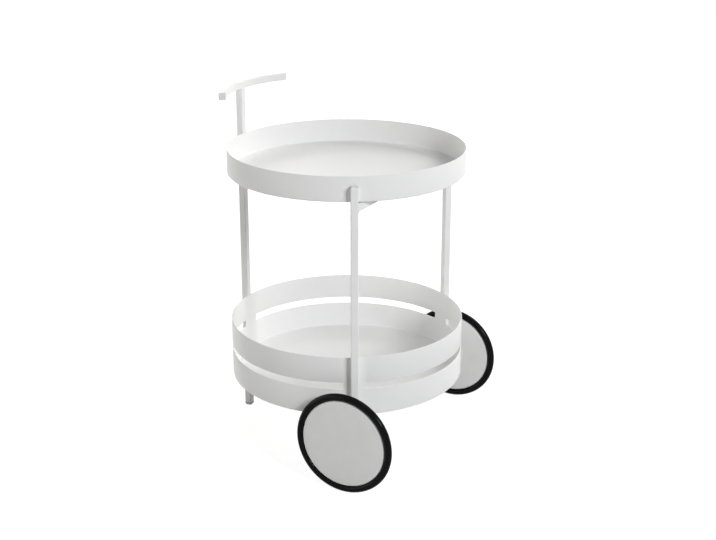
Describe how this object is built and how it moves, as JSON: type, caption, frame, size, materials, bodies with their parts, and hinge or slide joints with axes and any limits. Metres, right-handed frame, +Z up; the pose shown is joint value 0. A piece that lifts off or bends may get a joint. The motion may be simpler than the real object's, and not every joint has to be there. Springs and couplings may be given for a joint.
{
  "type": "round two-tier serving trolley",
  "caption": "White steel serving trolley: two round trays between square-tube posts, a curved push handle on the rear post and large disc wheels with black tyres.",
  "frame": {"origin": "on the floor, below the middle of the overall box", "axes": "+Z up; X along the wheel axle, +X to the right wheel; -Y towards the wheels, +Y towards the rear post and the handle"},
  "size_m": [0.538, 0.5056, 0.744],
  "materials": {
    "tray_coat": "matt white powder coat, very fine orange peel",
    "frame_coat": "matt white powder coat, very fine orange peel",
    "disc_coat": "matt white, smooth",
    "tyre_rubber": "black rubber, satin",
    "plug_plastic": "white moulded plastic",
    "foot_plastic": "light grey moulded plastic",
    "nylon": "natural white nylon",
    "pad_rubber": "clear soft pad",
    "zinc_steel": "bright zinc plating"
  },
  "bodies": {
    "frame": {"rear_post": "frame_coat", "left_front_post": "frame_coat", "right_front_post": "frame_coat", "handle_bar": "frame_coat", "left_handle_plug": "plug_plastic", "right_handle_plug": "plug_plastic", "left_post_cap": "plug_plastic", "right_post_cap": "plug_plastic", "rear_foot": "foot_plastic", "upper_cross_bar": "frame_coat", "upper_arm": "frame_coat", "lower_cross_bar": "frame_coat", "lower_arm": "frame_coat", "upper_tray_pads": "pad_rubber", "lower_tray": "tray_coat", "lower_tray_studs": "zinc_steel", "lower_tray_washers": "zinc_steel", "lower_tray_nuts": "zinc_steel", "left_axle_tube": "frame_coat", "right_axle_tube": "frame_coat", "left_axle_pin": "zinc_steel", "right_axle_pin": "zinc_steel", "left_axle_bush": "nylon", "right_axle_bush": "nylon", "left_thrust_washer": "zinc_steel", "right_thrust_washer": "zinc_steel", "left_retaining_ring": "zinc_steel", "right_retaining_ring": "zinc_steel"},
    "serving_tray": {"upper_tray": "tray_coat"},
    "left_wheel": {"left_wheel_disc": "disc_coat", "left_tyre": "tyre_rubber", "left_hub": "nylon", "left_hub_screws": "zinc_steel"},
    "right_wheel": {"right_wheel_disc": "disc_coat", "right_tyre": "tyre_rubber", "right_hub": "nylon", "right_hub_screws": "zinc_steel"}
  },
  "joints": [
    {"name": "upper_tray_lift", "type": "slide", "parent": "frame", "child": "serving_tray", "axis": [0, 0, 1], "range_m": [0, 0.09]},
    {"name": "left_wheel_spin", "type": "hinge", "parent": "frame", "child": "left_wheel", "pos_m": [-0.2615, -0.13994, 0.105], "axis": [1, 0, 0], "continuous": true},
    {"name": "right_wheel_spin", "type": "hinge", "parent": "frame", "child": "right_wheel", "pos_m": [0.2615, -0.13994, 0.105], "axis": [1, 0, 0], "continuous": true}
  ]
}
